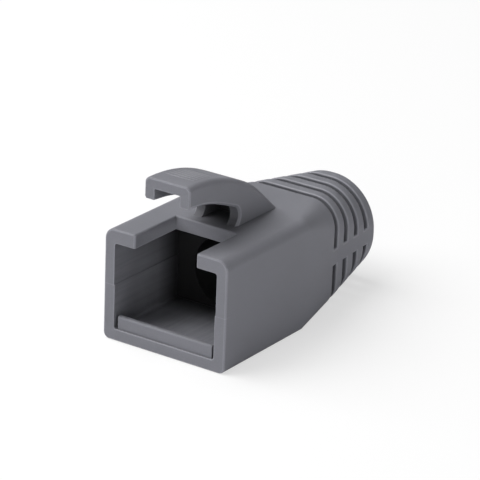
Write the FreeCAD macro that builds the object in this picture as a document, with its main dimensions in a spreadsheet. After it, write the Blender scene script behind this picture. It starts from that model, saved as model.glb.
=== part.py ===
"""Strain relief boot for an RJ45 plug, moulded in one piece from soft plastic.

The plug goes in at the open mouth (-Y) and the cable leaves through the
round rim (+Y). The boot lies on its flat underside at Z = 0, with the
origin under the middle of its length. Lengths are in millimetres.
"""
import FreeCAD
import Part
import Sketcher
import os
from math import sin, tan

SIZES = [
    # The sleeve, as the plug sees it from the mouth to the rim.
    ("body_width", 14.0, "across the mouth"),
    ("body_height", 11.3, "underside to flat top"),
    ("body_length", 28.6, "mouth face to rim"),
    ("upper_corner", 1.1, "long top edges, radius"),
    ("lower_corner", 0.65, "long bottom edges, radius"),
    ("shoulder_distance", 13.3, "mouth to where the neck starts"),
    ("waist_from_rim", 8.2, "rim to the middle of the neck"),
    ("waist_width", 11.6, "across the middle of the neck"),
    ("waist_drop", 0.46, "roof of the box to the top of the waist"),
    ("waist_upper_corner", 2.84, "top corner radius at the waist"),
    ("waist_lower_corner", 1.77, "bottom corner radius at the waist"),
    ("rim_diameter", 10.3, "outside of the round rim"),
    ("rim_flat", 0.3, "straight stretch between the rim's quarter rounds"),
    # The room for the plug.
    ("side_wall", 1.15, "mouth wall at the sides"),
    ("roof", 1.43, "mouth wall at the top"),
    ("floor", 1.2, "mouth wall at the bottom"),
    ("cavity_depth", 10.3, "mouth face to the inner shoulder"),
    ("cavity_corner", 0.25, "inner corner radius"),
    ("parting_height", 5.65, "underside to the mould's parting line"),
    ("parting_step", 0.08, "step in each inner wall at the parting line"),
    ("notch_width", 7.04, "gap in the roof for the latch"),
    ("notch_depth", 6.58, "mouth face to the back of the notch"),
    # The ridge that snaps behind the plug.
    ("lip_height", 1.3, "above the cavity floor"),
    ("lip_setback", 0.2, "mouth face to the ridge"),
    ("lip_crest", 0.5, "flat on top of the ridge"),
    ("lip_ramp", 0.9, "length of the sloped back of the ridge"),
    ("lip_round", 0.2, "edge radius of the ridge"),
    ("lip_slit", 0.33, "gap at each end of the ridge"),
    # The hood over the latch.
    ("hood_width", 5.14, "across both cheeks"),
    ("hood_cheek", 1.13, "wall of one cheek"),
    ("hood_rise", 6.15, "roof to the hood's top at the mouth"),
    ("hood_skin", 1.05, "hood's top wall"),
    ("hood_flat", 4.6, "mouth face to where the top and the slope would meet"),
    ("hood_crown", 19.5, "radius of the arched top between them"),
    ("hood_bend_distance", 10.7, "mouth face to the bend in the slope"),
    ("hood_bend_rise", 3.5, "roof to that bend"),
    ("hood_bend_round", 12.0, "radius of that bend"),
    ("hood_end_distance", 15.6, "mouth face to the hood's buried heel"),
    ("cheek_edge_rise", 4.0, "roof to the cheek's front tip"),
    ("cheek_bend_distance", 3.3, "mouth face to the bend in the cheek's edge"),
    ("cheek_bend_rise", 3.7, "roof to that bend"),
    ("cheek_bend_round", 14.0, "radius of that bend"),
    ("window_rear", 8.3, "mouth face to the back of the side window"),
    ("window_corner_rise", 1.8, "roof to its upper corner"),
    ("window_round", 1.15, "corner radius of the side window"),
    ("window_sill", 0.15, "how far the window's lower round dips into the roof"),
    ("hood_edge", 0.6, "radius of the hood's long top edges"),
    ("cheek_bevel", 0.22, "bevel of the cheeks' lower edges"),
    # The cable's way out and the slots that let the neck bend.
    ("bore_diameter", 7.6, "hole for the cable"),
    ("last_slot_from_rim", 1.93, "rim to the middle of the last slot"),
    ("slot_pitch", 2.09, "middle of one slot to the next"),
    ("slot_count", 4, "rings of slots"),
    ("slot_width", 0.8, "width of one slot"),
    ("web_height", 1.75, "bridge between upper and lower slot"),
    ("front_edge", 0.2, "edge radius round the mouth face and the notch"),
    ("rim_bevel", 0.2, "bevel round the rim"),
]

# Points this close together count as one.
NEAR = 0.01


class Size:
    """A length that keeps its number beside the text that names it in the sheet."""

    def __init__(self, number, text):
        self.number = number
        self.text = text

    def join(self, sign, other, number):
        text = other.text if isinstance(other, Size) else repr(other)
        return Size(number, "(%s %s %s)" % (self.text, sign, text))

    def __add__(self, other):
        return self.join("+", other, self.number + plain(other))

    def __sub__(self, other):
        return self.join("-", other, self.number - plain(other))

    def __mul__(self, other):
        return self.join("*", other, self.number * plain(other))

    def __truediv__(self, other):
        return self.join("/", other, self.number / plain(other))

    def __neg__(self):
        return Size(-self.number, "(-%s)" % self.text)


def plain(value):
    """The number of a size, or the number itself."""
    return value.number if isinstance(value, Size) else value


doc = FreeCAD.newDocument("StrainReliefBoot")
sheet = doc.addObject("Spreadsheet::Sheet", "Sizes")
size = {}
for row, (name, number, note) in enumerate(SIZES, start=1):
    sheet.set("A%d" % row, name)
    sheet.set("B%d" % row, str(number))
    sheet.set("C%d" % row, note)
    sheet.setAlias("B%d" % row, name)
    size[name] = Size(number, "Sizes." + name)
doc.recompute()

body = doc.addObject("PartDesign::Body", "boot")
body.Label = "boot"


def origin(role):
    """One of the body's own origin planes or axes."""
    for feature in body.Origin.OriginFeatures:
        if feature.Role == role:
            return feature
    raise RuntimeError("no origin feature " + role)


def tie(thing, name, value):
    """Sets a property from the sheet."""
    thing.setExpression(name, value.text)


def new_sketch(name, plane, distance=None):
    """A sketch on an origin plane, or the given distance along its normal."""
    sketch = body.newObject("Sketcher::SketchObject", name)
    sketch.AttachmentSupport = [(origin(plane), "")]
    sketch.MapMode = "FlatFace"
    if distance is not None:
        tie(sketch, "AttachmentOffset.Base.z", distance)
    return sketch


def constrain(sketch, kind, *where, value=None):
    """Adds a constraint, and binds its value to the sheet if it has one."""
    if value is None:
        return sketch.addConstraint(Sketcher.Constraint(kind, *where))
    index = sketch.addConstraint(Sketcher.Constraint(kind, *where, plain(value)))
    if isinstance(value, Size):
        sketch.setExpression("Constraints[%d]" % index, value.text)
    return index


def pin(sketch, item, end, across, up):
    """Holds a point at its two distances from the sketch's origin.

    The sketcher calls its origin -1, 1, its sideways axis -1 and its upright axis -2.
    """
    for kind, axis, value in (("DistanceX", -2, across), ("DistanceY", -1, up)):
        if plain(value) == 0:
            constrain(sketch, "PointOnObject", item, end, axis)
        else:
            constrain(sketch, kind, -1, 1, item, end, value=value)


def corner_arc(before, corner, after, radius):
    """Start, middle and end of the arc that rounds a corner."""
    to_before = (before - corner).normalize()
    to_after = (after - corner).normalize()
    half = to_before.getAngle(to_after) / 2
    reach = radius / tan(half)
    inward = (to_before + to_after).normalize()
    middle = corner + inward * (radius / sin(half) - radius)
    return corner + to_before * reach, middle, corner + to_after * reach


def outline(sketch, corners):
    """A closed outline of straight lines. Each corner is (across, up, radius)."""
    count = len(corners)
    spots = [FreeCAD.Vector(plain(across), plain(up), 0) for across, up, radius in corners]
    arcs = []
    for i, (across, up, radius) in enumerate(corners):
        if plain(radius) == 0:
            arcs.append((spots[i], None, spots[i]))
        else:
            arcs.append(corner_arc(spots[i - 1], spots[i], spots[(i + 1) % count], plain(radius)))
    lines = []
    for i in range(count):
        segment = Part.LineSegment(arcs[i][2], arcs[(i + 1) % count][0])
        lines.append(sketch.addGeometry(segment, False))
    for i, (across, up, radius) in enumerate(corners):
        line_in = lines[i - 1]
        line_out = lines[i]
        if plain(radius) == 0:
            constrain(sketch, "Coincident", line_in, 2, line_out, 1)
            pin(sketch, line_out, 1, across, up)
            continue
        arc = sketch.addGeometry(Part.Arc(*arcs[i]), False)
        spot = sketch.addGeometry(Part.Point(spots[i]), True)
        pin(sketch, spot, 1, across, up)
        constrain(sketch, "PointOnObject", spot, 1, line_in)
        constrain(sketch, "PointOnObject", spot, 1, line_out)
        joins = ((line_in, 2), (line_out, 1))
        for line, end in joins:
            constrain(sketch, "Tangent", line, end, arc, nearest_end(sketch, arc, line, end))
        constrain(sketch, "Radius", arc, value=radius)


def nearest_end(sketch, arc, line, end):
    """Which end of an arc, 1 or 2, lies at this end of a line."""
    target = sketch.getPoint(line, end)
    gaps = [sketch.getPoint(arc, side).distanceToPoint(target) for side in (1, 2)]
    return 1 + gaps.index(min(gaps))


def section(name, distance, width, height, upper, lower):
    """A cross-section of the sleeve, standing on the underside."""
    sketch = new_sketch(name, "XZ_Plane", distance)
    half = width / 2
    outline(sketch, [(-half, 0, lower), (half, 0, lower), (half, height, upper), (-half, height, upper)])
    return sketch


def feature(kind, name, profile, **properties):
    """A feature made from a sketch. Sizes are bound and other values are set."""
    made = body.newObject("PartDesign::" + kind, name)
    made.Profile = profile
    for key, value in properties.items():
        if isinstance(value, Size):
            tie(made, key, value)
        else:
            setattr(made, key, value)
    profile.Visibility = False
    doc.recompute()
    return made


def at(number, wanted):
    """True where a coordinate has the wanted value."""
    return abs(number - plain(wanted)) < NEAR


def edges_where(test):
    """Names of the body's edges whose middle passes a test."""
    names = []
    for number, edge in enumerate(body.Shape.Edges, start=1):
        middle = edge.valueAt((edge.FirstParameter + edge.LastParameter) / 2)
        if test(middle):
            names.append("Edge%d" % number)
    return names


def ease(kind, name, test, **amount):
    """Rounds or bevels the edges that pass a test."""
    base = body.Tip
    names = edges_where(test)
    if not names:
        raise RuntimeError("no edges for " + name)
    made = body.newObject("PartDesign::" + kind, name)
    made.Base = (base, names)
    for key, value in amount.items():
        tie(made, key, value)
    doc.recompute()


# Sleeve: a straight box for the plug, then a neck that turns from square to round.
box_section = (size["body_width"], size["body_height"], size["upper_corner"], size["lower_corner"])
mouth = section("mouth", None, *box_section)
shoulder = section("shoulder", -size["shoulder_distance"], *box_section)
waist_distance = size["body_length"] - size["waist_from_rim"]
waist = section(
    "waist",
    -waist_distance,
    size["waist_width"],
    size["body_height"] - size["waist_drop"],
    size["waist_upper_corner"],
    size["waist_lower_corner"],
)
rim_across = size["rim_diameter"]
rim_corner = rim_across / 2 - size["rim_flat"] / 2
rim = section("rim", -size["body_length"], rim_across, rim_across, rim_corner, rim_corner)
doc.recompute()
feature("Pad", "plug_sleeve", mouth, Length=size["shoulder_distance"], Reversed=True)
feature("AdditiveLoft", "neck", shoulder, Sections=[waist, rim], Ruled=True)

# Room for the plug, with the mould's parting step in both side walls.
cavity_half = size["body_width"] / 2 - size["side_wall"]
lower_half = cavity_half - size["parting_step"]
ceiling = size["body_height"] - size["roof"]
cavity_outline = new_sketch("cavity_outline", "XZ_Plane")
outline(
    cavity_outline,
    [
        (-lower_half, size["floor"], size["cavity_corner"]),
        (lower_half, size["floor"], size["cavity_corner"]),
        (lower_half, size["parting_height"], 0),
        (cavity_half, size["parting_height"], 0),
        (cavity_half, ceiling, size["cavity_corner"]),
        (-cavity_half, ceiling, size["cavity_corner"]),
        (-cavity_half, size["parting_height"], 0),
        (-lower_half, size["parting_height"], 0),
    ],
)
feature("Pocket", "cavity", cavity_outline, Length=size["cavity_depth"])

# Notch in the roof, open to the mouth, that lets the latch move.
notch_outline = new_sketch("notch_outline", "XY_Plane", size["body_height"])
notch_half = size["notch_width"] / 2
outline(
    notch_outline,
    [
        (-notch_half, -size["roof"], 0),
        (notch_half, -size["roof"], 0),
        (notch_half, size["notch_depth"], 0),
        (-notch_half, size["notch_depth"], 0),
    ],
)
feature("Pocket", "latch_notch", notch_outline, Length=size["roof"] * 2)

# Ridge on the mouth's floor, with a gap to the wall at each end.
lip_top = size["floor"] + size["lip_height"]
lip_front = size["lip_setback"]
lip_back = size["lip_setback"] + size["lip_crest"]
lip_side = new_sketch("lip_side", "YZ_Plane")
outline(
    lip_side,
    [
        (lip_front, size["floor"] / 2, 0),
        (lip_back + size["lip_ramp"], size["floor"] / 2, 0),
        (lip_back + size["lip_ramp"], size["floor"], 0),
        (lip_back, lip_top, size["lip_round"]),
        (lip_front, lip_top, size["lip_round"]),
    ],
)
lip_width = lower_half * 2 - size["lip_slit"] * 2
feature("Pad", "snap_lip", lip_side, Length=lip_width, Midplane=True)

# Hood over the latch: a cheek profile padded across, then hollowed.
hood_top = size["body_height"] + size["hood_rise"]
hood_bend_height = size["body_height"] + size["hood_bend_rise"]
cheek_edge = size["body_height"] + size["cheek_edge_rise"]
cheek_bend_height = size["body_height"] + size["cheek_bend_rise"]
window_corner_height = size["body_height"] + size["window_corner_rise"]
heel = size["body_height"] - size["roof"] / 2
sill = size["body_height"] - size["window_sill"]
window_foot = (size["notch_depth"] + size["window_rear"] - size["window_round"]) / 2
hood_side = new_sketch("hood_side", "YZ_Plane")
outline(
    hood_side,
    [
        (0, hood_top, 0),
        (size["hood_flat"], hood_top, size["hood_crown"]),
        (size["hood_bend_distance"], hood_bend_height, size["hood_bend_round"]),
        (size["hood_end_distance"], heel, 0),
        (window_foot, heel, 0),
        (window_foot, sill, 0),
        (size["window_rear"], sill, size["window_round"]),
        (size["window_rear"], window_corner_height, size["window_round"]),
        (size["cheek_bend_distance"], cheek_bend_height, size["cheek_bend_round"]),
        (0, cheek_edge, 0),
    ],
)
feature("Pad", "hood", hood_side, Length=size["hood_width"], Midplane=True)

channel_side = new_sketch("channel_side", "YZ_Plane")
outline(
    channel_side,
    [
        (-size["roof"], size["body_height"], 0),
        (size["hood_bend_distance"], size["body_height"], 0),
        (size["hood_bend_distance"], hood_bend_height - size["hood_skin"], size["window_round"]),
        (size["hood_flat"], hood_top - size["hood_skin"], size["hood_crown"]),
        (-size["roof"], hood_top - size["hood_skin"], 0),
    ],
)
channel_width = size["hood_width"] - size["hood_cheek"] * 2
feature("Pocket", "latch_channel", channel_side, Length=channel_width, Midplane=True)

# Hole for the cable, from the plug's room out through the rim.
axis_height = size["rim_diameter"] / 2
bore_circle = new_sketch("bore_circle", "XZ_Plane", -size["cavity_depth"])
circle = Part.Circle(FreeCAD.Vector(0, plain(axis_height), 0), FreeCAD.Vector(0, 0, 1), 1)
ring = bore_circle.addGeometry(circle, False)
pin(bore_circle, ring, 3, 0, axis_height)
constrain(bore_circle, "Diameter", ring, value=size["bore_diameter"])
feature("Pocket", "cable_bore", bore_circle, Length=size["body_length"])

# Rings of slots round the neck, each bridged at mid-height on both sides.
slots_span = size["slot_pitch"] * (size["slot_count"] - 1)
first_slot = size["body_length"] - size["last_slot_from_rim"] - slots_span
slot_outline = new_sketch("slot_outline", "XZ_Plane", size["slot_width"] / 2 - first_slot)
reach = size["body_width"] / 2
web_top = axis_height + size["web_height"] / 2
web_bottom = axis_height - size["web_height"] / 2
for low, high in ((web_top, hood_top), (-size["roof"], web_bottom)):
    outline(slot_outline, [(-reach, low, 0), (reach, low, 0), (reach, high, 0), (-reach, high, 0)])
slots = feature("Pocket", "slots", slot_outline, Length=size["slot_width"])
rings = body.newObject("PartDesign::LinearPattern", "slot_rings")
rings.Originals = [slots]
rings.Direction = (origin("Y_Axis"), [""])
tie(rings, "Length", slots_span)
tie(rings, "Occurrences", size["slot_count"])
body.Tip = rings
doc.recompute()

# Soft edges, as they come out of the mould.
hood_half = size["hood_width"] / 2


def on_cheek_face(point):
    """True on the hood's two outer side faces, above the roof and behind the front face."""
    return at(abs(point.x), hood_half) and point.z > plain(size["body_height"]) + NEAR and point.y > NEAR


def on_ridge(point):
    """The hood's two long top edges."""
    behind_window = point.y > plain(size["window_rear"]) + NEAR
    return on_cheek_face(point) and (behind_window or point.z > plain(cheek_edge) + NEAR)


def on_cheek_edge(point):
    """The lower edges of the hood's cheeks, round to the back of the window."""
    return on_cheek_face(point) and not on_ridge(point)


def on_mouth_edge(point):
    """The outer edges of the mouth face, and the upper edges of the notch in it."""
    beside = abs(point.x) > plain(cavity_half) + NEAR
    outside = beside or point.z < NEAR or point.z > plain(ceiling) + NEAR
    on_front = at(point.y, 0) and point.z < plain(size["body_height"]) + NEAR and outside
    beside_notch = at(abs(point.x), notch_half) and point.y < plain(size["notch_depth"])
    behind_notch = at(point.y, size["notch_depth"]) and abs(point.x) < plain(notch_half)
    return on_front or at(point.z, size["body_height"]) and (beside_notch or behind_notch)


def on_hood_front(point):
    """The outer edges of the hood's front face."""
    outside = at(abs(point.x), hood_half) or point.z > plain(hood_top) - plain(size["hood_edge"])
    return at(point.y, 0) and point.z > plain(size["body_height"]) + NEAR and outside


def on_rim(point):
    """The outer edge of the round rim."""
    from_axis = FreeCAD.Vector(point.x, point.z - plain(axis_height), 0).Length
    return at(point.y, size["body_length"]) and from_axis > plain(size["bore_diameter"]) / 2 + NEAR


ease("Fillet", "soft_ridges", on_ridge, Radius=size["hood_edge"])
ease("Chamfer", "cheek_bevel", on_cheek_edge, Size=size["cheek_bevel"])
ease("Fillet", "soft_mouth", on_mouth_edge, Radius=size["front_edge"])
ease("Fillet", "soft_hood_front", on_hood_front, Radius=size["front_edge"])
ease("Chamfer", "rim_bevel", on_rim, Size=size["rim_bevel"])

# The origin lies under the middle of the boot's length.
body.setExpression("Placement.Base.y", (-size["body_length"] / 2).text)
doc.recompute()

for thing in doc.Objects:
    if "Invalid" in thing.State or "Error" in thing.State:
        raise RuntimeError("%s did not build: %s" % (thing.Name, thing.State))
if body.Shape.isNull() or not body.Shape.isValid() or len(body.Shape.Solids) != 1:
    raise RuntimeError("the boot is not one valid solid")

os.makedirs("parts", exist_ok=True)
body.Shape.exportStep("parts/%s.step" % body.Label)
print("boot", round(body.Shape.Volume, 2), body.Shape.BoundBox)
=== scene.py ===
"""Strain relief boot for an RJ45 plug: one piece moulded in soft grey plastic, on a white table.

Lengths are in metres unless a comment says otherwise. The boot lies along Y with its mouth at -Y
and its underside at Z = 0.
"""
import bpy
import bmesh
import math
from mathutils import Matrix, Vector


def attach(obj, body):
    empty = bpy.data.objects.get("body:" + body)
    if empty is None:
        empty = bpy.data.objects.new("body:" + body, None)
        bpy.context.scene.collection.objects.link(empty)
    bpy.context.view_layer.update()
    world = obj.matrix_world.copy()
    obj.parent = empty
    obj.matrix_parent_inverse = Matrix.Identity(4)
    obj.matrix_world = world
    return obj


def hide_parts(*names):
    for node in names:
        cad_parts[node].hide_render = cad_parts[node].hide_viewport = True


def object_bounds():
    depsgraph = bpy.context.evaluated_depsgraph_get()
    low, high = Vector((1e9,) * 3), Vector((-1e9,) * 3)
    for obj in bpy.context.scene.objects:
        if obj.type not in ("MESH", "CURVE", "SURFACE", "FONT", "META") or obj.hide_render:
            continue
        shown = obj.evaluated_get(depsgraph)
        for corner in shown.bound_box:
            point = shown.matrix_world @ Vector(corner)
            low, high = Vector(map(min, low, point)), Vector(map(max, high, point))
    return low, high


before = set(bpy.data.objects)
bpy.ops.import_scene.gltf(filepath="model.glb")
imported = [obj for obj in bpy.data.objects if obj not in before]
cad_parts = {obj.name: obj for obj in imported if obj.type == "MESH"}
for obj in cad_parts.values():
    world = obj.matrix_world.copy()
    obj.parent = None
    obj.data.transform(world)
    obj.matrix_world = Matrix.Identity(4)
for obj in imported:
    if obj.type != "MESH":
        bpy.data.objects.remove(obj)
cad_low, cad_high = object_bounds()

MM = 0.001
MOUTH = cad_low.y
RIM = cad_high.y

# The plug's room, the snap ridge across its floor and the rounded edges round the mouth.
ROOM_HALF = 5.9 * MM
ROOM_FLOOR = 1.15 * MM
ROOM_TOP = 9.9 * MM
ROOM_END = MOUTH + 10.35 * MM
RIDGE_FRONT = MOUTH + 0.45 * MM
MOUTH_EDGE_END = MOUTH + 0.21 * MM

# The cable's hole, the slots through the neck and the bridges between their halves.
HOLE_HEIGHT = 5.15 * MM
HOLE_RADIUS = 3.85 * MM
HOLE_START = ROOM_END - 0.1 * MM
SLOTS_START = RIM - 8.7 * MM
SLOTS_END = RIM - 1 * MM
BRIDGE_HALF = 0.875 * MM

# The hood over the roof, the channel under it and the windows through its sides.
ROOF = 11.3 * MM
HOOD_HALF = 2.57 * MM
CHANNEL_HALF = 1.46 * MM
CHANNEL_END = MOUTH + 11 * MM
WINDOW_END = MOUTH + 8.3 * MM
WINDOW_END_START = WINDOW_END - 1.2 * MM
WINDOW_FOOT = ROOF - 0.2 * MM

# How far a place may be off and still count.
SLACK = 0.01 * MM
WIDE_SLACK = 0.02 * MM

# Limits on a part of a face's normal: X to the side, Y forward where it is negative, Z up.
SQUARE_ON = 0.99
LOOKS_UP = 0.9
LOOKS_OUT_OF_MOUTH = -0.5
MOUTH_EDGE_FRONT = -0.98
MOUTH_EDGE_BACK = -0.02
MOUTH_EDGE_UP = 0.35
WINDOW_END_SIDE = 0.3
WINDOW_END_BACK = -0.1

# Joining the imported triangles: corners and faces that count as one.
SAME_CORNER = 0.002 * MM
SAME_FACE = math.radians(0.6)

# The rounding of the outer edges, and the strip of skin beside it that has to be free of corners.
ROUNDING = 0.16 * MM
ROUNDING_STEPS = 3
ROUNDED_STRIP = 0.22 * MM
FULL, HALF, CRISP = 1, 0.5, 0
SLIVER = 0.001 * MM
OUT_OF_FLAT = 0.1 * MM

# Angles between neighbouring faces: on one surface, shaded as smooth, and sharp enough to round.
SAME_SURFACE = math.radians(20)
SMOOTH_BELOW = math.radians(30)
ROUNDED_FROM = math.radians(35)

# The finishes, numbered as the boot's material slots; some carry painted shade or a painted
# highlight.
SKIN, CORE, UNDER_HOOD_SHADOW, FAR_END, SLOT_WALLS, HIGHLIT_EDGES, SHADED_WINDOW_ENDS = range(7)


# Boot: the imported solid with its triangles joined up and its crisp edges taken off.
def linked(name, data):
    """A new object in the scene."""
    piece = bpy.data.objects.new(name, data)
    bpy.context.scene.collection.objects.link(piece)
    return piece


def joined_copy(source, name):
    """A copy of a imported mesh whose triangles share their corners, with flat faces made whole."""
    mesh = bpy.data.meshes.new(name)
    work = bmesh.new()
    work.from_mesh(source.data)
    bmesh.ops.remove_doubles(work, verts=work.verts, dist=SAME_CORNER)
    bmesh.ops.dissolve_limit(
        work, angle_limit=SAME_FACE, verts=work.verts, edges=work.edges,
        use_dissolve_boundaries=False,
    )
    clear_beside_slots(work)
    weights = work.edges.layers.float.new("bevel_weight_edge")
    for edge in work.edges:
        edge[weights] = edge_softness(edge)
        edge.smooth = edge[weights] > 0 or edge.calc_face_angle(0) < SMOOTH_BELOW
    for face in work.faces:
        face.smooth = True
        face.material_index = finish_of(face)
    work.to_mesh(mesh)
    work.free()
    return linked(name, mesh)


def clear_beside_slots(work):
    """Takes out corners of the skin that lie nearer to a slot's edge than its rounding is wide.

    A face that is left far out of flat is cut into triangles.
    """
    rounded = {
        vertex for edge in work.edges if edge_softness(edge) == FULL for vertex in edge.verts
    }
    strays = [
        vertex for vertex in work.verts
        if vertex not in rounded
        and max(edge.calc_face_angle(0) for edge in vertex.link_edges) < SAME_SURFACE
        and any(
            edge.other_vert(vertex) in rounded and edge.calc_length() < ROUNDED_STRIP
            for edge in vertex.link_edges
        )
    ]
    bmesh.ops.dissolve_verts(work, verts=strays)
    work.normal_update()
    bent = [face for face in work.faces if len(face.verts) > 4 and out_of_flat(face) > OUT_OF_FLAT]
    bmesh.ops.triangulate(work, faces=bent)


def out_of_flat(face):
    """How far a face's corners stray from the flat through its first one."""
    first = face.verts[0].co
    return max(abs((vertex.co - first).dot(face.normal)) for vertex in face.verts)


def within_walls(spot):
    """True between the room's side walls, floor and roof, however far along the boot."""
    return abs(spot.x) < ROOM_HALF and ROOM_FLOOR < spot.z < ROOM_TOP


def in_room(spot):
    """True in the plug's room, behind the snap ridge's front."""
    return within_walls(spot) and RIDGE_FRONT < spot.y < ROOM_END


def in_hole(spot):
    """True on the wall of the cable's hole."""
    return math.hypot(spot.x, spot.z - HOLE_HEIGHT) < HOLE_RADIUS and spot.y > HOLE_START


def in_channel(spot):
    """True in the channel under the hood."""
    return (
        abs(spot.x) < CHANNEL_HALF and spot.z > ROOF - SLACK
        and MOUTH + SLACK < spot.y < CHANNEL_END
    )


def at_window_end(spot):
    """True where the rear ends of the two windows in the hood's sides lie."""
    return (
        CHANNEL_HALF - WIDE_SLACK < abs(spot.x) < HOOD_HALF + WIDE_SLACK and spot.z > WINDOW_FOOT
        and WINDOW_END_START < spot.y < WINDOW_END + WIDE_SLACK
    )


def is_window_end(face, spots):
    """True for a face of a window's rear end, which looks forward and not to the side."""
    looks_forward = (
        abs(face.normal.x) <= WINDOW_END_SIDE and face.normal.y <= WINDOW_END_BACK
    )
    return looks_forward and all(at_window_end(spot) for spot in spots)


def is_mouth_edge(face, rear):
    """True for the rounded edges of the mouth, apart from those that look up."""
    curved = MOUTH_EDGE_FRONT < face.normal.y < MOUTH_EDGE_BACK
    return rear < MOUTH_EDGE_END and curved and face.normal.z < MOUTH_EDGE_UP


def is_slot_wall(face, spots, rear):
    """True inside the neck's slots: their sides across the neck and the ends at the bridges."""
    if min(spot.y for spot in spots) < SLOTS_START or rear > SLOTS_END:
        return False
    across = abs(face.normal.y) > SQUARE_ON
    off_bridge = abs(abs(spots[0].z - HOLE_HEIGHT) - BRIDGE_HALF)
    return across or (abs(face.normal.z) > SQUARE_ON and off_bridge < SLACK)


def finish_of(face):
    """Which finish a face takes."""
    spots = [vertex.co for vertex in face.verts]
    rear = max(spot.y for spot in spots)
    # The rear ends of the windows take painted shade.
    if is_window_end(face, spots):
        return SHADED_WINDOW_ENDS
    # The mouth's rounded edges take the painted highlight.
    if is_mouth_edge(face, rear):
        return HIGHLIT_EDGES
    if is_slot_wall(face, spots, rear):
        return SLOT_WALLS
    # The channel's walls under the hood take a painted shadow.
    if all(in_channel(spot) for spot in spots) and face.normal.z < LOOKS_UP:
        return UNDER_HOOD_SHADOW
    # The far end and the cable hole take painted shade.
    if all(in_hole(spot) for spot in spots):
        return FAR_END
    if all(in_room(spot) and spot.y > HOLE_START for spot in spots):
        return FAR_END
    if all(in_room(spot) or in_hole(spot) for spot in spots):
        return CORE
    inward = face.normal.y > LOOKS_OUT_OF_MOUTH
    if all(within_walls(spot) for spot in spots) and inward and rear < ROOM_END:
        return CORE
    return SKIN


def edge_softness(edge):
    """How much of the full rounding an edge gets.

    Edges in hollows, at the window ends and on the parting ledge stay crisp.
    """
    if not edge.is_manifold or edge.calc_face_angle_signed() < ROUNDED_FROM:
        return CRISP
    finishes = {finish_of(face) for face in edge.link_faces}
    if finishes <= {CORE, FAR_END} or finishes == {UNDER_HOOD_SHADOW} or SHADED_WINDOW_ENDS in finishes:
        return CRISP
    return FULL if SLOT_WALLS in finishes else HALF


def soften(piece):
    """Rounds the outer edges a little in the lighter painted highlight finish, and keeps flat faces
    flat in the shading.
    """
    rounding = piece.modifiers.new("Rounded edges", "BEVEL")
    rounding.limit_method = "WEIGHT"
    rounding.width = ROUNDING
    rounding.segments = ROUNDING_STEPS
    rounding.use_clamp_overlap = False
    rounding.material = HIGHLIT_EDGES
    joining = piece.modifiers.new("Closed slivers", "WELD")
    joining.merge_threshold = SLIVER
    flattening = piece.modifiers.new("Flat faces", "WEIGHTED_NORMAL")
    flattening.mode = "FACE_AREA"
    flattening.keep_sharp = True


# Node helpers.
def add(tree, kind, inputs=(), **settings):
    """A node with its settings made and its inputs given a value or another node's output."""
    node = tree.nodes.new(kind)
    for key, value in settings.items():
        setattr(node, key, value)
    for name, value in dict(inputs).items():
        if isinstance(value, bpy.types.NodeSocket):
            tree.links.new(value, node.inputs[name])
        else:
            node.inputs[name].default_value = value
    return node


def math_node(tree, operation, first, second=0.5):
    """The result of a sum on two values, or on the first where it takes only one."""
    return add(tree, "ShaderNodeMath", {0: first, 1: second}, operation=operation).outputs[0]


def spread(tree, value, low, high, to_low, to_high):
    """The value's range low to high, moved to another range and held inside it."""
    limits = {
        "Value": value, "From Min": low, "From Max": high, "To Min": to_low, "To Max": to_high,
    }
    return add(tree, "ShaderNodeMapRange", limits).outputs["Result"]


def place_node(tree):
    """The place on the piece, in metres."""
    return add(tree, "ShaderNodeTexCoord").outputs["Object"]


def noise(tree, place, scale, detail, roughness=0.5):
    """Cloudy noise from 0 to 1."""
    look = {"Vector": place, "Scale": scale, "Detail": detail, "Roughness": roughness}
    return add(tree, "ShaderNodeTexNoise", look).outputs["Fac"]


def tinted(tree, colour, strength):
    """A fixed colour multiplied by a varying grey value."""
    channels = {"Red": strength, "Green": strength, "Blue": strength}
    grey = add(tree, "ShaderNodeCombineColor", channels)
    mixed = add(tree, "ShaderNodeMix", {"Factor": 1.0}, data_type="RGBA", blend_type="MULTIPLY")
    first, second = [socket for socket in mixed.inputs if socket.type == "RGBA"]
    first.default_value = colour
    tree.links.new(grey.outputs["Color"], second)
    return [socket for socket in mixed.outputs if socket.type == "RGBA"][0]


def cleared(owner):
    """The node tree of a new material or world, emptied."""
    owner.use_nodes = True
    owner.node_tree.nodes.clear()
    return owner.node_tree


def new_group(name, inputs, outputs):
    """A shader node group with named number sockets, and its two end nodes."""
    group = bpy.data.node_groups.new(name, "ShaderNodeTree")
    for socket_name, value in inputs.items():
        socket = group.interface.new_socket(
            socket_name, in_out="INPUT", socket_type="NodeSocketFloat",
        )
        socket.default_value = value
    for socket_name in outputs:
        group.interface.new_socket(socket_name, in_out="OUTPUT", socket_type="NodeSocketFloat")
    return group, add(group, "NodeGroupInput").outputs, add(group, "NodeGroupOutput").inputs


# Mould finish: the spark-roughened grain, the drift in tone, the parting line and painted shade in
# hollows.

# Repeats of the waves and of the drift for each metre, and the range that noise mostly keeps to.
WAVE_SCALE = 620.0
DRIFT_SCALE = 170.0
USUAL_NOISE = (0.3, 0.7)


def mould_grain():
    """Fine grain with slow waves for the bump, and a fine and a slow variation for the tone."""
    group, given, result = new_group(
        "Mould grain",
        {"Grain Size": 9000.0, "Grain Depth": 1.0, "Wave Depth": 1.0},
        ["Height", "Speckle", "Drift"],
    )
    place = place_node(group)
    fine = noise(group, place, given["Grain Size"], 3.0, 0.62)
    wave = noise(group, place, WAVE_SCALE, 2.0)
    drift = noise(group, place, DRIFT_SCALE, 3.0, 0.55)
    grain_part = math_node(group, "MULTIPLY", fine, given["Grain Depth"])
    wave_part = math_node(group, "MULTIPLY", wave, given["Wave Depth"])
    group.links.new(math_node(group, "ADD", grain_part, wave_part), result["Height"])
    group.links.new(spread(group, fine, *USUAL_NOISE, 0.0, 1.0), result["Speckle"])
    group.links.new(spread(group, drift, *USUAL_NOISE, 0.0, 1.0), result["Drift"])
    return group


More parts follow.
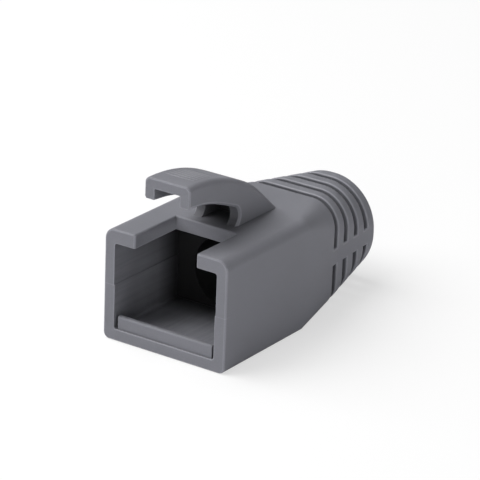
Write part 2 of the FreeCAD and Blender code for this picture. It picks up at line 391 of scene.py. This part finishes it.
def painted_hollow_shade():
    """Painted shade: a tone that falls from 1 in the open to less in a hollow, where less light
    reaches.
    """
    group, given, result = new_group(
        "Painted hollow shade", {"Reach": 4 * MM, "Depth": 0.5, "Fall": 1.0}, ["Tone"],
    )
    # Painted shade: the more of the sky a spot's own surroundings hide, the darker its colour.
    open_sky = add(
        group, "ShaderNodeAmbientOcclusion", {"Distance": given["Reach"]},
        samples=12, only_local=True,
    ).outputs["AO"]
    closed = math_node(group, "SUBTRACT", 1.0, open_sky)
    dark = math_node(group, "POWER", closed, given["Fall"])
    loss = math_node(group, "MULTIPLY", dark, given["Depth"])
    group.links.new(math_node(group, "SUBTRACT", 1.0, loss), result["Tone"])
    return group


def painted_depth_shade():
    """Painted light and shade: a tone that runs from one value to another along the boot, for walls
    deeper inside it.
    """
    group, given, result = new_group(
        "Painted depth shade",
        {"Start": 0.0, "End": 10 * MM, "First Tone": 1.0, "Last Tone": 0.5},
        ["Tone"],
    )
    along = add(group, "ShaderNodeSeparateXYZ", {0: place_node(group)}).outputs["Y"]
    tone = spread(
        group, along, given["Start"], given["End"], given["First Tone"], given["Last Tone"],
    )
    group.links.new(tone, result["Tone"])
    return group


def parting_witness():
    """A thin band behind the mouth face where the mould's halves meet, 1 on the line."""
    group, given, result = new_group(
        "Parting witness",
        {"Height": 5.65 * MM, "Width": 0.05 * MM, "Reach": 1 * MM},
        ["Line"],
    )
    spot = add(group, "ShaderNodeSeparateXYZ", {0: place_node(group)}).outputs
    above = math_node(group, "SUBTRACT", spot["Z"], given["Height"])
    off = math_node(group, "ABSOLUTE", above)
    line = spread(group, off, given["Width"], 0.0, 0.0, 1.0)
    behind = math_node(group, "SUBTRACT", spot["Y"], MOUTH)
    near = spread(group, behind, 0.0, given["Reach"], 1.0, 0.0)
    group.links.new(math_node(group, "MULTIPLY", line, near), result["Line"])
    return group


GRAIN = mould_grain()
PAINTED_HOLLOW_SHADE = painted_hollow_shade()
PAINTED_DEPTHS = painted_depth_shade()
PARTING = parting_witness()

# Linear colours.
BOOT_GREY = (0.2, 0.202, 0.225, 1)
INNER_GREY = (0.21, 0.212, 0.234, 1)
# Lighter grey on the rounded edges and the ribs: a painted highlight.
PAINTED_HIGHLIGHT_GREY = (0.25, 0.252, 0.279, 1)
# Darker grey on the rear ends of the hood's windows: painted shade.
WINDOW_END_SHADE_GREY = (0.12, 0.121, 0.135, 1)
# Near black on the channel's walls under the hood: painted shadow.
PAINTED_SHADOW_GREY = (0.035, 0.036, 0.04, 1)

# Lowest and highest roughness.
SPARKED = (0.56, 0.66)
DRAWN = (0.5, 0.6)
DULL = (0.6, 0.7)
SHINY = (0.4, 0.5)

# Grains for the mould grain group. Grain Size is in repeats for each metre.
SKIN_GRAIN = {"Grain Size": 9000.0, "Grain Depth": 1.0, "Wave Depth": 1.6}
DRAWN_GRAIN = {"Grain Size": 11000.0, "Grain Depth": 0.5, "Wave Depth": 0.8}
SHELTERED_GRAIN = {"Grain Size": 9000.0, "Grain Depth": 0.8, "Wave Depth": 1.0}
HIGHLIT_EDGE_GRAIN = {"Grain Size": 9000.0, "Grain Depth": 0.5, "Wave Depth": 0.5}

# Draw streaks: repeats for each metre, fewer along the boot, and how far tone and bump follow them.
STREAK_SCALE = (2600.0, 90.0, 2600.0)
STREAK_NOISE = (0.35, 0.7)
STREAK_TONES = (0.93, 1.12)
STREAK_HEIGHT = 0.8

# How much the tone follows the grain, the drift and the parting line.
SPECKLE_TONES = (0.95, 1.04)
DRIFT_TONES = (0.965, 1.03)
PARTING_TONE = 0.3

BUMP = {"Strength": 0.35, "Distance": 0.03 * MM}
SOFT_PLASTIC = {
    "Specular IOR Level": 0.4,
    "Subsurface Weight": 0.6,
    "Subsurface Radius": (1.0, 1.0, 1.0),
    "Subsurface Scale": 0.5 * MM,
}


def hollow_painted_shade(reach, depth, fall):
    """Sizes for the painted hollow shade group."""
    return {"Reach": reach, "Depth": depth, "Fall": fall}


def fade(start, end, first_tone, last_tone):
    """Sizes for the painted depth shade group."""
    return {"Start": start, "End": end, "First Tone": first_tone, "Last Tone": last_tone}


def plastic(name, colour, roughness, grain, painted_hollow_sizes, painted_fades=(), streaked=False):
    """Soft plastic in one finish, with painted shade in its hollows and any number of painted fades
    along the boot.
    """
    made = bpy.data.materials.new(name)
    tree = cleared(made)
    output = add(tree, "ShaderNodeOutputMaterial")
    shader = add(tree, "ShaderNodeBsdfPrincipled", SOFT_PLASTIC)
    tree.links.new(shader.outputs["BSDF"], output.inputs["Surface"])

    surface = add(tree, "ShaderNodeGroup", grain, node_tree=GRAIN).outputs
    height = surface["Height"]
    tone = math_node(
        tree, "MULTIPLY",
        spread(tree, surface["Speckle"], 0, 1, *SPECKLE_TONES),
        spread(tree, surface["Drift"], 0, 1, *DRIFT_TONES),
    )
    if streaked:
        drawn_out = {"Vector": place_node(tree), "Scale": STREAK_SCALE}
        drag = noise(tree, add(tree, "ShaderNodeMapping", drawn_out).outputs[0], 1.0, 3.0)
        streaks = spread(tree, drag, *STREAK_NOISE, *STREAK_TONES)
        tone = math_node(tree, "MULTIPLY", tone, streaks)
        height = math_node(tree, "ADD", height, math_node(tree, "MULTIPLY", drag, STREAK_HEIGHT))

    line = add(tree, "ShaderNodeGroup", node_tree=PARTING).outputs["Line"]
    lighter = math_node(tree, "ADD", 1.0, math_node(tree, "MULTIPLY", line, PARTING_TONE))
    tone = math_node(tree, "MULTIPLY", tone, lighter)
    height = math_node(tree, "ADD", height, line)

    # Painted shade in hollows, then the painted fades of light and shade along the boot, multiply
    # the colour.
    shades = [(PAINTED_HOLLOW_SHADE, painted_hollow_sizes)] + [(PAINTED_DEPTHS, sizes) for sizes in painted_fades]
    for group, sizes in shades:
        shade = add(tree, "ShaderNodeGroup", sizes, node_tree=group).outputs["Tone"]
        tone = math_node(tree, "MULTIPLY", tone, shade)

    bump = add(tree, "ShaderNodeBump", {**BUMP, "Height": height})
    tree.links.new(tinted(tree, colour, tone), shader.inputs["Base Color"])
    tree.links.new(spread(tree, surface["Drift"], 0, 1, *roughness), shader.inputs["Roughness"])
    tree.links.new(bump.outputs["Normal"], shader.inputs["Normal"])
    return made


plastics = {
    # Every finish darkens its hollows with painted shade, the outer skin most strongly.
    SKIN: plastic("Grained outer skin", BOOT_GREY, SPARKED, SKIN_GRAIN, hollow_painted_shade(8 * MM, 0.9, 2.6)),
    CORE: plastic(
        "Core-drawn inner walls", INNER_GREY, DRAWN, DRAWN_GRAIN, hollow_painted_shade(12 * MM, 0.75, 4.0),
        [
            # Painted light on the inner walls near the mouth, then painted shade deeper in the
            # room.
            fade(MOUTH, MOUTH + 5 * MM, 0.82, 1.32),
            fade(MOUTH + 7 * MM, ROOM_END - 0.5 * MM, 1.0, 0.16),
        ],
        streaked=True,
    ),
    # Painted shadow: the channel's walls under the hood in near black.
    UNDER_HOOD_SHADOW: plastic(
        "Painted shadow under the hood", PAINTED_SHADOW_GREY, DULL, SHELTERED_GRAIN, hollow_painted_shade(6 * MM, 0.95, 1.0),
    ),
    FAR_END: plastic(
        # Painted shade: darkest next to the room, lightening towards the rim.
        "Far end and cable hole in painted shade", BOOT_GREY, DRAWN, DRAWN_GRAIN, hollow_painted_shade(12 * MM, 0.9, 1.0),
        [fade(ROOM_END + 2 * MM, RIM - 2 * MM, 0.12, 1.0)],
    ),
    SLOT_WALLS: plastic("Slot walls", BOOT_GREY, SPARKED, SKIN_GRAIN, hollow_painted_shade(2 * MM, 0.3, 1.0)),
    # Lighter grey as painted highlight on the rounded edges and the ribs.
    HIGHLIT_EDGES: plastic("Edges with painted highlight", PAINTED_HIGHLIGHT_GREY, SHINY, HIGHLIT_EDGE_GRAIN, hollow_painted_shade(8 * MM, 0.9, 3.0)),
    # Darker grey as painted shade on the windows' rear ends.
    SHADED_WINDOW_ENDS: plastic(
        "Window ends in painted shade", WINDOW_END_SHADE_GREY, SPARKED, SKIN_GRAIN, hollow_painted_shade(4 * MM, 0.5, 1.0),
    ),
}

boot = joined_copy(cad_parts["boot"], "boot_shell")
for number in sorted(plastics):
    boot.data.materials.append(plastics[number])
soften(boot)
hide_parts("boot")
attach(boot, "root")


# Ribs: a row of faint ribs across the arched top of the hood.
RIBS = 6
RIB_SIZES = {
    "First Rib": MOUTH + 1.95 * MM,
    "Pitch": 0.55 * MM,
    "Rib Length": 3.3 * MM,
    "Rib Width": 0.34 * MM,
    "Rib Height": 0.045 * MM,
    "Arch Start": MOUTH + 0.54 * MM,
    "Arch Radius": 19.5 * MM,
    "Arch Top": cad_high.z,
}


def vector(tree, **parts):
    """A vector from its parts X, Y and Z, which are 0 where they aren't given."""
    return add(tree, "ShaderNodeCombineXYZ", parts).outputs[0]


def rib_tree(finish):
    """Node tree that lays bars along the arch, each half sunk in it and turned with its slope."""
    tree = bpy.data.node_groups.new("Hood ribs", "GeometryNodeTree")
    sockets = [("Geometry", "INPUT", "NodeSocketGeometry"), ("Ribs", "INPUT", "NodeSocketInt")]
    sockets += [(name, "INPUT", "NodeSocketFloat") for name in RIB_SIZES]
    sockets += [("Geometry", "OUTPUT", "NodeSocketGeometry")]
    for name, side, kind in sockets:
        tree.interface.new_socket(name, in_out=side, socket_type=kind)
    given = add(tree, "NodeGroupInput").outputs

    # One point for each rib, on a level line and then moved up onto the arch.
    row = add(tree, "GeometryNodeMeshLine", {
        "Count": given["Ribs"],
        "Start Location": vector(tree, Y=given["First Rib"]),
        "Offset": vector(tree, Y=given["Pitch"]),
    }).outputs["Mesh"]
    spot = add(tree, "GeometryNodeInputPosition").outputs[0]
    place = add(tree, "ShaderNodeSeparateXYZ", {0: spot}).outputs["Y"]
    behind = math_node(tree, "SUBTRACT", place, given["Arch Start"])
    slope = math_node(tree, "ARCSINE", math_node(tree, "DIVIDE", behind, given["Arch Radius"]))
    share = math_node(tree, "SUBTRACT", 1.0, math_node(tree, "COSINE", slope))
    fall = math_node(tree, "MULTIPLY", share, given["Arch Radius"])
    lift = vector(tree, Z=math_node(tree, "SUBTRACT", given["Arch Top"], fall))
    spots = add(tree, "GeometryNodeSetPosition", {"Geometry": row, "Offset": lift}).outputs[0]

    # A bar with rounded ends, and one of it on each point.
    ball = {"Segments": 24, "Rings": 12, "Radius": 1.0}
    bar = add(tree, "GeometryNodeMeshUVSphere", ball).outputs["Mesh"]
    scale = vector(
        tree,
        X=math_node(tree, "MULTIPLY", given["Rib Length"], 0.5),
        Y=math_node(tree, "MULTIPLY", given["Rib Width"], 0.5),
        Z=given["Rib Height"],
    )
    shaped = add(tree, "GeometryNodeTransform", {"Geometry": bar, "Scale": scale}).outputs[0]
    tilt = vector(tree, X=math_node(tree, "MULTIPLY", slope, -1.0))
    laid = add(
        tree, "GeometryNodeInstanceOnPoints",
        {"Points": spots, "Instance": shaped, "Rotation": tilt},
    ).outputs[0]
    real = add(tree, "GeometryNodeRealizeInstances", {0: laid}).outputs[0]
    smooth = add(tree, "GeometryNodeSetShadeSmooth", {0: real}).outputs[0]
    done = add(tree, "GeometryNodeSetMaterial", {"Geometry": smooth, "Material": finish})
    add(tree, "NodeGroupOutput", {"Geometry": done.outputs[0]})
    return tree


def grown(tree, name, sizes):
    """A finished piece made by a node tree from its named sizes."""
    piece = linked(name, bpy.data.meshes.new(name))
    growth = piece.modifiers.new("Growth", "NODES")
    growth.node_group = tree
    sockets = {
        item.name: item.identifier for item in tree.interface.items_tree if item.in_out == "INPUT"
    }
    for key, value in sizes.items():
        growth[sockets[key]] = value
    view = bpy.context.evaluated_depsgraph_get()
    mesh = bpy.data.meshes.new_from_object(piece.evaluated_get(view), depsgraph=view)
    piece.modifiers.remove(growth)
    piece.data = mesh
    mesh.name = name
    return piece


# The ribs take the lighter grey of the painted highlight.
ribs = grown(rib_tree(plastics[HIGHLIT_EDGES]), "hood_ribs", {"Ribs": RIBS, **RIB_SIZES})
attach(ribs, "root")


# Floor and white ground. The camera sees both as white, and the boot gets a plain level of light.
WHITE = (1, 1, 1, 1)
FLOOR_HALF = 3.0
FLOOR_SEEN = (0.95, 0.95, 0.95, 1)
FLOOR_LIT = (0.8, 0.8, 0.82, 1)
FLOOR_GLOW = 0.6
ROOM_LIGHT = 0.14


def seen_and_unseen(tree, output_kind, unseen, seen):
    """Gives the camera one shader and all other light the other."""
    camera_ray = add(tree, "ShaderNodeLightPath").outputs["Is Camera Ray"]
    both = {0: camera_ray, 1: unseen.outputs[0], 2: seen.outputs[0]}
    add(tree, output_kind, {"Surface": add(tree, "ShaderNodeMixShader", both).outputs["Shader"]})


def plain_floor():
    """A wide floor that keeps the boot's shadow."""
    mesh = bpy.data.meshes.new("floor")
    half = FLOOR_HALF
    corners = [(-half, -half, 0), (half, -half, 0), (half, half, 0), (-half, half, 0)]
    mesh.from_pydata(corners, [], [(0, 1, 2, 3)])
    made = bpy.data.materials.new("Pale floor")
    tree = cleared(made)
    matt = add(tree, "ShaderNodeBsdfDiffuse", {"Color": FLOOR_SEEN})
    glow = add(tree, "ShaderNodeEmission", {"Color": WHITE, "Strength": 1.0})
    pale = add(
        tree, "ShaderNodeMixShader", {0: FLOOR_GLOW, 1: matt.outputs[0], 2: glow.outputs[0]},
    )
    lit = add(tree, "ShaderNodeBsdfDiffuse", {"Color": FLOOR_LIT})
    seen_and_unseen(tree, "ShaderNodeOutputMaterial", lit, pale)
    mesh.materials.append(made)
    linked("floor", mesh)


def studio_air():
    """White to the camera and dim to the boot."""
    world = bpy.data.worlds.new("Studio")
    bpy.context.scene.world = world
    tree = cleared(world)
    room = add(tree, "ShaderNodeBackground", {"Color": WHITE, "Strength": ROOM_LIGHT})
    white = add(tree, "ShaderNodeBackground", {"Color": WHITE, "Strength": 1.0})
    seen_and_unseen(tree, "ShaderNodeOutputWorld", room, white)


plain_floor()
studio_air()


# Lights: the direction each stands in, its width in metres and its power in watts.
SOFTBOXES = {
    "Top light": ((-0.5, -0.27, 0.83), 0.5, 3.5),
    "Front light": ((0.4, -0.88, 0.22), 0.24, 0.46),
    "Side light": ((0.98, -0.1, 0.12), 0.2, 0.44),
}
LAMP_DISTANCE = 0.5
LAMP_TARGET = Vector((0, 0, 8 * MM))


def softbox(name, toward, width, power):
    """A square area light that shines at the boot from the given direction."""
    light = bpy.data.lights.new(name, "AREA")
    light.shape = "SQUARE"
    light.size = width
    light.energy = power
    direction = Vector(toward).normalized()
    lamp = linked(name, light)
    lamp.location = direction * LAMP_DISTANCE + LAMP_TARGET
    lamp.rotation_euler = direction.to_track_quat("Z", "Y").to_euler()


for lamp_name, (toward, width, power) in SOFTBOXES.items():
    softbox(lamp_name, toward, width, power)


# Camera: its sensor and lens are in millimetres, as Blender has them.
SENSOR_WIDTH = 36
FOCAL_LENGTH = 225
NEAREST_SEEN = 10 * MM


def camera_at(azimuth, elevation, roll, distance, aside, above):
    """A camera that looks at the mouth's foot, then steps aside and up without turning."""
    back = Vector((
        math.sin(azimuth) * math.cos(elevation),
        -math.cos(azimuth) * math.cos(elevation),
        math.sin(elevation),
    ))
    level = Vector((math.cos(azimuth), math.sin(azimuth), 0))
    upward = back.cross(level)
    right = level * math.cos(roll) + upward * math.sin(roll)
    top = upward * math.cos(roll) - level * math.sin(roll)
    spot = Vector((0, MOUTH, 0)) + back * distance + right * aside + top * above
    turn = Matrix((right, top, back)).transposed().to_4x4()
    lens = bpy.data.cameras.new("Camera")
    lens.sensor_width = SENSOR_WIDTH
    lens.lens = FOCAL_LENGTH
    lens.clip_start = NEAREST_SEEN
    camera = linked("Camera", lens)
    camera.matrix_world = Matrix.Translation(spot) @ turn
    bpy.context.scene.camera = camera


camera_at(
    azimuth=math.radians(33.979), elevation=math.radians(21.796), roll=math.radians(2.2316),
    distance=281.53 * MM, aside=7.2915 * MM, above=10.8851 * MM,
)
bpy.context.scene.view_settings.view_transform = "Standard"
